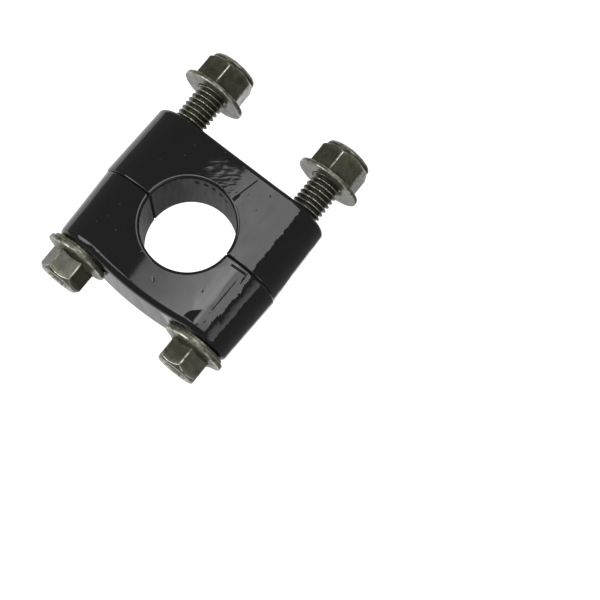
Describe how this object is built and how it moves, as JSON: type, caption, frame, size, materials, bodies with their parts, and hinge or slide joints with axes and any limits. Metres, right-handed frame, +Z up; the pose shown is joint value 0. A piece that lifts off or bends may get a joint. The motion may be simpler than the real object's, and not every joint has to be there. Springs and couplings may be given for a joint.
{
  "type": "motorcycle bar riser",
  "caption": "Split clamp that holds a motorcycle handlebar above its yoke: an arched cap drawn down on a flat-seated base by flange bolts and flange lock nuts.",
  "frame": {"origin": "middle of the flat seat under the base, midway between the two bolt axes", "axes": "+Z up along the bolts to their heads, square to the seat; +Y along the handlebar; +X along the row of bolts, towards the right bolt seen from -Y"},
  "size_m": [0.0514, 0.0208, 0.0664],
  "materials": {
    "gloss_black_paint": "gloss black paint, slightly wavy",
    "dark_plated_steel": "dark olive plating, semi-gloss",
    "nylon": "satin"
  },
  "bodies": {
    "base": {"riser_base": "gloss_black_paint"},
    "cap": {"clamp_cap": "gloss_black_paint"},
    "left_bolt": {"left_bolt": "dark_plated_steel"},
    "right_bolt": {"right_bolt": "dark_plated_steel"},
    "left_nut": {"left_nut": "dark_plated_steel", "left_nut_locking_ring": "nylon"},
    "right_nut": {"right_nut": "dark_plated_steel", "right_nut_locking_ring": "nylon"}
  },
  "joints": [
    {"name": "cap_lift", "type": "slide", "parent": "base", "child": "cap", "axis": [0, 0, 1], "range_m": [0, 0.004]},
    {"name": "left_bolt_turn", "type": "hinge", "parent": "cap", "child": "left_bolt", "pos_m": [-0.0174, 0, 0.0388], "axis": [0, 0, -1], "range_deg": [-1440, 1710]},
    {"name": "right_bolt_turn", "type": "hinge", "parent": "cap", "child": "right_bolt", "pos_m": [0.0174, 0, 0.0388], "axis": [0, 0, -1], "range_deg": [-1440, 1710]},
    {"name": "left_nut_travel", "type": "slide", "parent": "cap", "child": "left_nut", "axis": [0, 0, 1], "range_m": [-0.005, 0.00594]},
    {"name": "right_nut_travel", "type": "slide", "parent": "cap", "child": "right_nut", "axis": [0, 0, 1], "range_m": [-0.005, 0.00594]}
  ],
  "couplings": [
    {"joint": "left_nut_travel", "follows": "left_bolt_turn", "m_per_rad": 0.00019894},
    {"joint": "right_nut_travel", "follows": "right_bolt_turn", "m_per_rad": 0.00019894}
  ]
}
